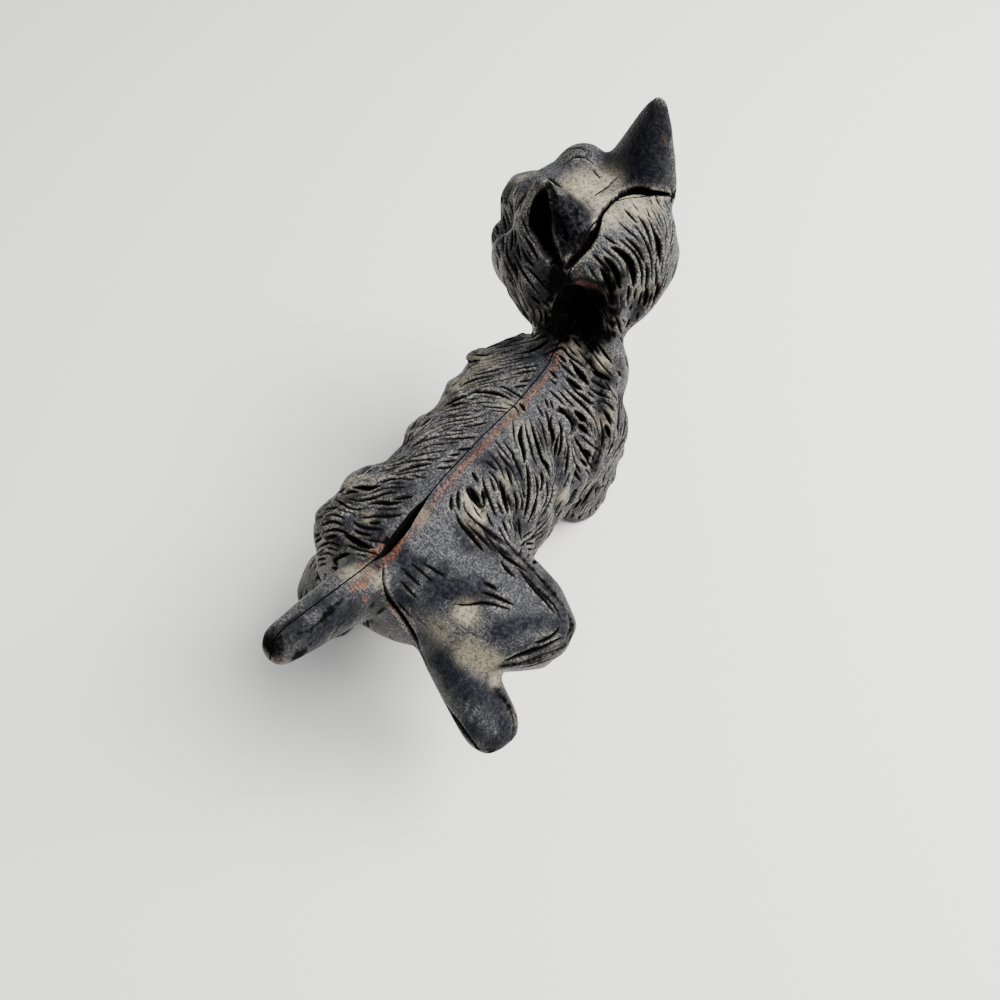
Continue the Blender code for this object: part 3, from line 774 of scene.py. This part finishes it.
# Where the enamel is thickest, blue-black.
INK_MARKS = (
    *along(26, 1.3, 300, 626, 272, 642),
    *along(22, 1.2, 504, 706, 508, 735, 490, 748),
    *along(24, 1.2, 438, 664, 466, 686, 496, 700),
    *along(26, 1.2, 656, 118, 650, 156, 638, 184),
    *along(26, 1.1, 398, 556, 432, 584, 480, 596),
    *along(20, 1.0, 500, 630, 536, 622, 560, 626),
    *along(24, 1.0, 352, 604, 330, 622, 312, 640),
    (545, 590, 30, 0.8), (560, 612, 26, 0.9), (540, 652, 30, 1.0), (510, 560, 24, 0.9),
    (530, 575, 22, 0.8), (490, 548, 20, 0.9), (400, 600, 24, 0.9), (424, 640, 18, 0.8),
    (440, 700, 18, 0.8), (510, 740, 20, 1.0), (345, 620, 30, 0.9), (318, 640, 30, 1.1),
    (335, 540, 30, 0.8), (330, 515, 26, 0.5), (400, 490, 26, 0.6), (545, 440, 26, 0.6),
    (520, 480, 30, 0.7), (560, 470, 26, 0.6), (640, 260, 26, 0.6), (620, 300, 26, 0.7),
    (515, 260, 26, 0.7), (535, 300, 24, 0.9), (574, 214, 30, 1.5), (580, 236, 24, 1.4),
    (645, 160, 40, 1.2), (655, 130, 24, 1.0), (640, 182, 26, 1.0), (576, 222, 26, 1.2),
    (580, 240, 20, 1.0), (566, 204, 18, 0.9), (505, 190, 22, 1.0), (502, 212, 22, 1.0),
    (498, 240, 18, 0.7), (540, 270, 26, 0.8), (546, 340, 24, 1.0), (530, 350, 24, 0.6),
    (412, 574, 34, 1.0), (436, 586, 34, 1.0), (470, 592, 26, 0.8), (468, 530, 24, 1.1),
    (480, 546, 20, 1.0), (508, 634, 18, 0.8), (448, 676, 22, 1.1), (492, 704, 26, 1.1),
    (468, 732, 26, 1.2), (488, 742, 20, 1.0), (372, 528, 26, 1.0), (352, 500, 20, 0.7),
    (386, 516, 22, 0.9), (490, 460, 30, 0.9), (506, 470, 26, 0.8), (600, 380, 22, 0.8),
    (620, 400, 20, 0.6), (300, 622, 26, 0.9), (330, 606, 22, 0.7), (280, 640, 24, 1.1),
    (300, 588, 30, 1.0), (600, 430, 22, 0.6), (560, 580, 20, 0.7), (430, 400, 20, 0.5),
)
# Rust, under the ruff and at the root of the tail.
RUST_MARKS = (
    (384, 544, 10, 0.9), (374, 553, 12, 0.9), (364, 566, 12, 0.8), (362, 584, 12, 0.8),
    (354, 588, 9, 0.7), (366, 598, 9, 0.7), (582, 284, 16, 0.9), (594, 286, 12, 0.8),
    (564, 284, 8, 0.8), (564, 296, 8, 0.7), (391, 606, 8, 0.7), (396, 612, 8, 0.6),
    (272, 655, 20, 0.5), (284, 664, 16, 0.5), (336, 646, 14, 0.4), (646, 302, 10, 0.5),
    (660, 286, 10, 0.4), (566, 336, 10, 0.6), (552, 354, 8, 0.5), (475, 540, 12, 0.3),
    (548, 190, 14, 0.4), (664, 140, 10, 0.4), (362, 512, 12, 0.35),
)
# Pale dust, in the pockets that face upwards.
DUST_MARKS = (
    (584, 186, 36, 1.0), (602, 178, 26, 0.7), (600, 200, 22, 0.8), (636, 206, 30, 0.9),
    (610, 216, 22, 0.9), (656, 202, 18, 0.6), (486, 662, 24, 1.0), (498, 674, 18, 1.0),
    (470, 652, 24, 0.8), (466, 614, 20, 0.8), (440, 632, 26, 0.4), (476, 516, 20, 0.9),
    (468, 500, 12, 0.8), (352, 572, 22, 0.5), (378, 578, 16, 0.5), (508, 406, 18, 0.4),
    (420, 516, 18, 0.4), (576, 350, 18, 0.5), (600, 362, 20, 0.5), (565, 494, 16, 0.8),
    (505, 480, 14, 0.4), (524, 430, 22, 0.3), (480, 362, 34, 0.4), (460, 384, 26, 0.4),
    (440, 404, 24, 0.3), (606, 420, 20, 0.3), (370, 518, 10, 0.4), (350, 480, 26, 0.35),
    (640, 290, 16, 0.35), (522, 178, 12, 0.5),
)
# The painted shade: from the deep hollows, and from the marks in the folds.
painted_shade = np.maximum(painted_shade, marks(PAINTED_SHADE_MARKS))
ink = marks(INK_MARKS)
dust = marks(DUST_MARKS)

# Rust also creeps from the seam, which runs down the middle of the back and to the right behind
# the ears. The seam's route is given from above, as y and x in mm.
SEAM_ROUTE = ((-85.613, -7.563), (-60.613, -7.563), (-46.613, 0.937), (69.387, 0.937))
BACK_HEIGHT = 62.0
BACK_FRONT, BACK_REAR = -34.0, 52.0
route_y, route_x = np.array(SEAM_ROUTE).T
from_seam = points[:, 0] - np.interp(points[:, 1], route_y, route_x)
on_back = np.clip((points[:, 2] - BACK_HEIGHT) / 6.0, 0.0, 1.0)
on_back *= (np.clip((points[:, 1] - BACK_FRONT) / 6.0, 0.0, 1.0)
            * np.clip((BACK_REAR - points[:, 1]) / 5.0, 0.0, 1.0))
stripe = np.clip(1.0 - np.abs(from_seam + 1.7) / 1.6, 0.0, 1.0) * on_back * 0.6
edge_rust = np.clip(1.0 - np.abs(from_seam + 0.9) / 0.7, 0.0, 1.0) * on_back * 0.5
rust = np.maximum(np.maximum(stripe, edge_rust), marks(RUST_MARKS))


# The two iron castings, held together out of sight: the carved form parted along the seam,
# which gapes over the loin. GAPE is half its width there, in mm.
GAPE, GAPE_Y, GAPE_HALF_LENGTH = 0.95, 34.0, 9.0
HALF_GAP = 0.16


def seam_edge(side):
    """The seam's line on one side, as y and x from the breast to the tail."""
    ys = np.concatenate(([-85.6, -60.6], np.linspace(-46.6, 22.0, 12),
                         np.linspace(24.0, 44.0, 11), np.linspace(46.0, 69.4, 6)))
    gape = GAPE * np.clip(1.0 - ((ys - GAPE_Y) / GAPE_HALF_LENGTH) ** 2, 0.0, 1.0)
    waver = 0.05 * np.sin(ys * 0.9) + 0.04 * np.sin(ys * 2.3 + 1.0)
    return ys, np.interp(ys, route_y, route_x) + side * (HALF_GAP + gape) + waver


FAR = 200.0


def seam_block(side):
    """Everything on one side of the seam, from just under the soles to over the ears."""
    outline = [(float(x), float(y)) for y, x in zip(*seam_edge(side))][::-1]
    outline[0] = (outline[0][0], FAR)
    outline[-1] = (outline[-1][0], -FAR)
    outline += [(side * FAR, -FAR), (side * FAR, FAR)]
    shape = bmesh.new()
    face = shape.faces.new([shape.verts.new((x * MM, y * MM, -0.01)) for x, y in outline])
    grown = bmesh.ops.extrude_face_region(shape, geom=[face])["geom"]
    for vert in (item for item in grown if isinstance(item, bmesh.types.BMVert)):
        vert.co.z = 0.2
    bmesh.ops.recalc_face_normals(shape, faces=shape.faces)
    mesh = bpy.data.meshes.new("block")
    shape.to_mesh(mesh)
    shape.free()
    block = bpy.data.objects.new("block", mesh)
    bpy.context.collection.objects.link(block)
    return block


marked_tree = kdtree.KDTree(len(points))
for i, spot in enumerate(points):
    marked_tree.insert(spot, i)
marked_tree.balance()
LAYERS = {"relief": relief, "groove": groove, "painted_shade": np.clip(painted_shade, 0, 1), "rust": rust,
          "dust": dust, "ink": ink, "upward": upward}
ON_CUT = 0.06

castings = []
for name, side, most in (("iron_dog_left", 1, 190000), ("iron_dog_right", -1, 150000)):
    half = bpy.data.objects.new(name, form.data.copy())
    half.data.name = name
    half.data.materials.append(None)
    half.data.materials.append(None)
    bpy.context.collection.objects.link(half)
    bpy.context.view_layer.objects.active = half
    block = seam_block(side)
    keep = half.modifiers.new("side of the seam", "BOOLEAN")
    keep.operation = "INTERSECT"
    keep.solver = "MANIFOLD"
    keep.object = block
    bpy.ops.object.modifier_apply(modifier="side of the seam")
    bpy.data.objects.remove(block, do_unlink=True)
    half.data.calc_loop_triangles()
    thin = half.modifiers.new("thin", "DECIMATE")
    thin.ratio = min(1.0, most / len(half.data.loop_triangles))
    bpy.ops.object.modifier_apply(modifier="thin")
    half.data.calc_loop_triangles()
    print(name, len(half.data.loop_triangles), "triangles")
    bpy.ops.object.select_all(action="DESELECT")
    half.select_set(True)
    bpy.ops.object.shade_smooth_by_angle(angle=radians(65.0))
    spots = read_points(half.data)
    nearest = np.array([marked_tree.find(spot)[1] for spot in spots])
    way_y, way_x = seam_edge(side)
    inside = np.abs(spots[:, 0] - np.interp(spots[:, 1], way_y, way_x)) < ON_CUT
    for face in half.data.polygons:
        if abs(face.normal.z) < 0.3 and all(inside[corner] for corner in face.vertices):
            face.material_index = 1
    for layer, values in LAYERS.items():
        attribute = half.data.attributes.new(layer, "FLOAT", "POINT")
        attribute.data.foreach_set("value", values[nearest].astype(np.float32))
    castings.append(half)
bpy.data.objects.remove(form, do_unlink=True)


# The finish: black enamel, brushed on thick and rubbed for decades. It has gone grey and dusty on the
# crests, is blue-black where it is thickest and rusty along the seam; painted light greys what faces
# upwards and the ridges, and painted shade blackens the grooves and hollows.
# Its colours stay below mid grey, with a low gloss that the painted shade and the blue-black take away.
def linear(hex_colour):
    """A #rrggbb colour as the shader's linear numbers."""
    values = [int(hex_colour[i:i + 2], 16) / 255.0 for i in (1, 3, 5)]
    return (*[v / 12.92 if v <= 0.04045 else ((v + 0.055) / 1.055) ** 2.4 for v in values], 1.0)


def add(tree, kind, sockets, out=0, **settings):
    """Adds a node. Its sockets get numbers, or links from other nodes; it gives one output."""
    node = tree.nodes.new("ShaderNode" + kind)
    for key, value in settings.items():
        setattr(node, key, value)
    for key, value in sockets.items() if isinstance(sockets, dict) else enumerate(sockets):
        if isinstance(value, bpy.types.NodeSocket):
            tree.links.new(value, node.inputs[key])
        else:
            node.inputs[key].default_value = value
    return node.outputs[out]


# A Map Range node's sockets are the value, the range that it has and the range that it gets. A
# Math node adds its two unless told otherwise. A Mix node's share, under and over are sockets 0,
# 6 and 7, and its colour comes out of socket 2.
enamel = bpy.data.materials.new("worn black enamel")
enamel.use_nodes = True
tree = enamel.node_tree
shader = tree.nodes["Principled BSDF"]
place = add(tree, "TexCoord", {}, "Object")
layer = {key: add(tree, "Attribute", {}, "Fac", attribute_name=key) for key in LAYERS}

# Sand grain, the cast skin's specks, and two sizes of cloudy wear, each with its size in mm.
PATTERNS = ((0.45, 2.0, 0.6), (0.9, 3.0, 0.7), (9.0, 3.0, 0.6), (5.0, 4.0, 0.65))
fine, speck, cloud, drift = [
    add(tree, "TexNoise", {"Vector": place, "Scale": 1.0 / (size * MM), "Detail": detail,
                           "Roughness": rough})
    for size, detail, rough in PATTERNS]
slant = add(tree, "Mapping", {"Vector": place, "Rotation": (0.0, 0.3, 0.9),
                              "Scale": (2.2, 0.7, 1.0)})
scuffs = add(tree, "TexNoise", {"Vector": slant, "Scale": 1.0 / (3.2 * MM), "Detail": 4.0,
                                "Roughness": 0.7})

# Grey, rubbed enamel in clouds, less where the enamel is thick, and painted light: grey on what faces
# upwards.
thick = add(tree, "Math", (layer["ink"], -0.6), operation="MULTIPLY")
clouded = add(tree, "Math", (add(tree, "MapRange", (cloud, 0.35, 0.65, -0.3, 0.3)), thick))
wear_and_top_light = add(tree, "Math", (add(tree, "MapRange", (layer["upward"], 0.35, 1.0, -0.3, 0.15)), clouded))
worn_and_top_lit = add(tree, "Math", (wear_and_top_light, add(tree, "MapRange", (speck, 0.35, 0.65, 0.0, 0.7))))
grey_wear_and_top_light = add(tree, "MapRange", (worn_and_top_lit, 0.2, 1.1))

# Bare grey where the enamel has rubbed off the ridges, and a painted highlight on them.
broken = add(tree, "MapRange", (speck, 0.35, 0.65, -0.25, 0.25))
ridge = add(tree, "MapRange", (add(tree, "Math", (layer["relief"], broken)), 0.15, 0.9))
ridge = add(tree, "Math", (ridge, 0.85), operation="MULTIPLY")

# Thick blue-black enamel, in scuffed patches.
patchy = add(tree, "Math", (add(tree, "Math", (drift, 0.5), operation="MULTIPLY"),
                            add(tree, "Math", (scuffs, 0.5), operation="MULTIPLY")))
inky = add(tree, "Math", (layer["ink"], 0.22), operation="MULTIPLY")
inky = add(tree, "MapRange", (add(tree, "Math", (inky, patchy)), 0.5, 0.68))
navy = add(tree, "Math", (inky, add(tree, "MapRange", (speck, 0.34, 0.56, 0.15, 1.0))),
           operation="MULTIPLY")
navy_share = add(tree, "Math", (navy, 0.9), operation="MULTIPLY")

# Pits of the sand casting.
pitted = add(tree, "Math", (layer["ink"], 0.05), operation="MULTIPLY")
pitted = add(tree, "Math", (speck, pitted), operation="SUBTRACT")
pits = add(tree, "MapRange", (pitted, 0.45, 0.38, 0.0, 0.85))

# Dust and rust.
dusty = add(tree, "MapRange", (speck, 0.36, 0.56, 0.35, 1.0))
dusty = add(tree, "Math", (layer["dust"], dusty), operation="MULTIPLY")
rusty = add(tree, "MapRange", (speck, 0.35, 0.6, 0.3, 1.3))
rusty = add(tree, "Math", (layer["rust"], rusty), operation="MULTIPLY")
rusty = add(tree, "MapRange", (rusty, 0.15, 0.9))
rust_tone = add(tree, "Mix", {0: add(tree, "MapRange", (fine, 0.42, 0.58)), 6: linear("#3d2114"),
                              7: linear("#73482f")}, 2, data_type="RGBA")

# Painted shade: the grooves, hollows and dips darkened, as shade falls in them.
ragged = add(tree, "Math", (add(tree, "MapRange", (speck, 0.3, 0.7, -0.3, 0.3)),
                            add(tree, "MapRange", (drift, 0.3, 0.7, -0.25, 0.25))))
hollow_shade = add(tree, "MapRange", (add(tree, "Math", (layer["painted_shade"], ragged)), 0.3, 0.85))
dips = add(tree, "MapRange", (layer["relief"], -0.08, -0.6))
low_spots = add(tree, "Math", (hollow_shade, dips), operation="MAXIMUM")
rough_cut = add(tree, "Math", (speck, 0.3), operation="MULTIPLY")
rough_cut = add(tree, "Math", (layer["groove"], rough_cut), operation="SUBTRACT")
cuts = add(tree, "MapRange", (rough_cut, 0.05, 0.7))
dark = add(tree, "Math", (cuts, low_spots), operation="MAXIMUM")

# The colours, one over the other. Under them all is painted light: the enamel lighter where it faces
# upwards, darker on the sides and underneath.
paint = add(tree, "Mix", {0: add(tree, "MapRange", (layer["upward"], 0.2, 0.95)),
                          6: linear("#101013"), 7: linear("#27282d")}, 2, data_type="RGBA")
# Over it: grey wear with painted top light, bare grey with a painted highlight on the ridges, blue-black
# enamel and the pits.
for share, colour in ((grey_wear_and_top_light, linear("#4b4a4e")), (ridge, linear("#79756a")),
                      (navy_share, linear("#0a0a17")), (pits, linear("#040406"))):
    paint = add(tree, "Mix", {0: share, 6: paint, 7: colour}, 2, data_type="RGBA")
grit = add(tree, "Mix", {0: 0.75, 6: paint, 7: linear("#050507")}, 2, data_type="RGBA")
paint = add(tree, "Mix", {0: add(tree, "MapRange", (fine, 0.46, 0.55)), 6: grit, 7: paint}, 2,
            data_type="RGBA")
# Dust and rust, and last the painted shade, near black, in the grooves, hollows and dips.
for share, colour in ((dusty, linear("#a0967e")), (rusty, rust_tone), (dark, linear("#030304"))):
    paint = add(tree, "Mix", {0: share, 6: paint, 7: colour}, 2, data_type="RGBA")

gloss = add(tree, "MapRange", (fine, 0.4, 0.6, 0.62, 0.38))
rough = add(tree, "Math", (gloss, dark), operation="MAXIMUM")
shine = add(tree, "Math", (dark, navy), operation="MAXIMUM")
shine = add(tree, "MapRange", (shine, 0.0, 1.0, 0.35, 0.05))
bumps = add(tree, "Math", (fine, add(tree, "Math", (speck, 1.2), operation="MULTIPLY")))
bump = add(tree, "Bump", {"Strength": 0.8, "Distance": 0.00025, "Height": bumps})
for socket, value in (("Base Color", paint), ("Roughness", rough), ("Specular IOR Level", shine),
                      ("Normal", bump)):
    tree.links.new(value, shader.inputs[socket])
shader.inputs["Metallic"].default_value = 0.0

# The cut faces of the two castings: raw iron, as it left the sand, brown-black and dull because
# no light gets into the joint.
joint = bpy.data.materials.new("shaded iron in the joint")
joint.use_nodes = True
tree = joint.node_tree
shader = tree.nodes["Principled BSDF"]
place = add(tree, "TexCoord", {}, "Object")
mottle = add(tree, "TexNoise", {"Vector": place, "Scale": 1.0 / (1.2 * MM), "Detail": 2.0,
                                "Roughness": 0.5})
iron = add(tree, "Mix", {0: add(tree, "MapRange", (mottle, 0.4, 0.6)), 6: linear("#030303"),
                         7: linear("#0d0806")}, 2, data_type="RGBA")
tree.links.new(iron, shader.inputs["Base Color"])
shader.inputs["Roughness"].default_value = 0.95
shader.inputs["Specular IOR Level"].default_value = 0.05

for half, node in zip(castings, ("left_casting", "right_casting")):
    half.data.materials[0] = enamel
    half.data.materials[1] = joint
    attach(half, "root")
    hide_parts(node)


# What the dog stands on: a pale, matt sheet of paper, wider than the picture.
bpy.ops.mesh.primitive_plane_add(size=4.0, location=(0, 0, 0))
floor = bpy.context.object
floor.name = "floor"
paper = bpy.data.materials.new("pale paper")
paper.use_nodes = True
leaf = paper.node_tree.nodes["Principled BSDF"]
leaf.inputs["Base Color"].default_value = linear("#eceae6")
leaf.inputs["Roughness"].default_value = 0.85
floor.data.materials.append(paper)


# Light: pale daylight all round, and a bright window high to the picture's right, turned to
# the dog's middle.
world = bpy.data.worlds.new("daylight")
world.use_nodes = True
world.node_tree.nodes["Background"].inputs["Color"].default_value = (0.86, 0.89, 0.93, 1)
world.node_tree.nodes["Background"].inputs["Strength"].default_value = 0.62
bpy.context.scene.world = world

lamp = bpy.data.lights.new("window", "AREA")
lamp.shape = "SQUARE"
lamp.size = 0.60
lamp.energy = 32.0
window = bpy.data.objects.new("window", lamp)
bpy.context.collection.objects.link(window)
window.location = (-0.46, -0.34, 0.82)
to_dog = Vector((0, 0, 0.04)) - window.location
window.rotation_euler = to_dog.to_track_quat("-Z", "Y").to_euler()
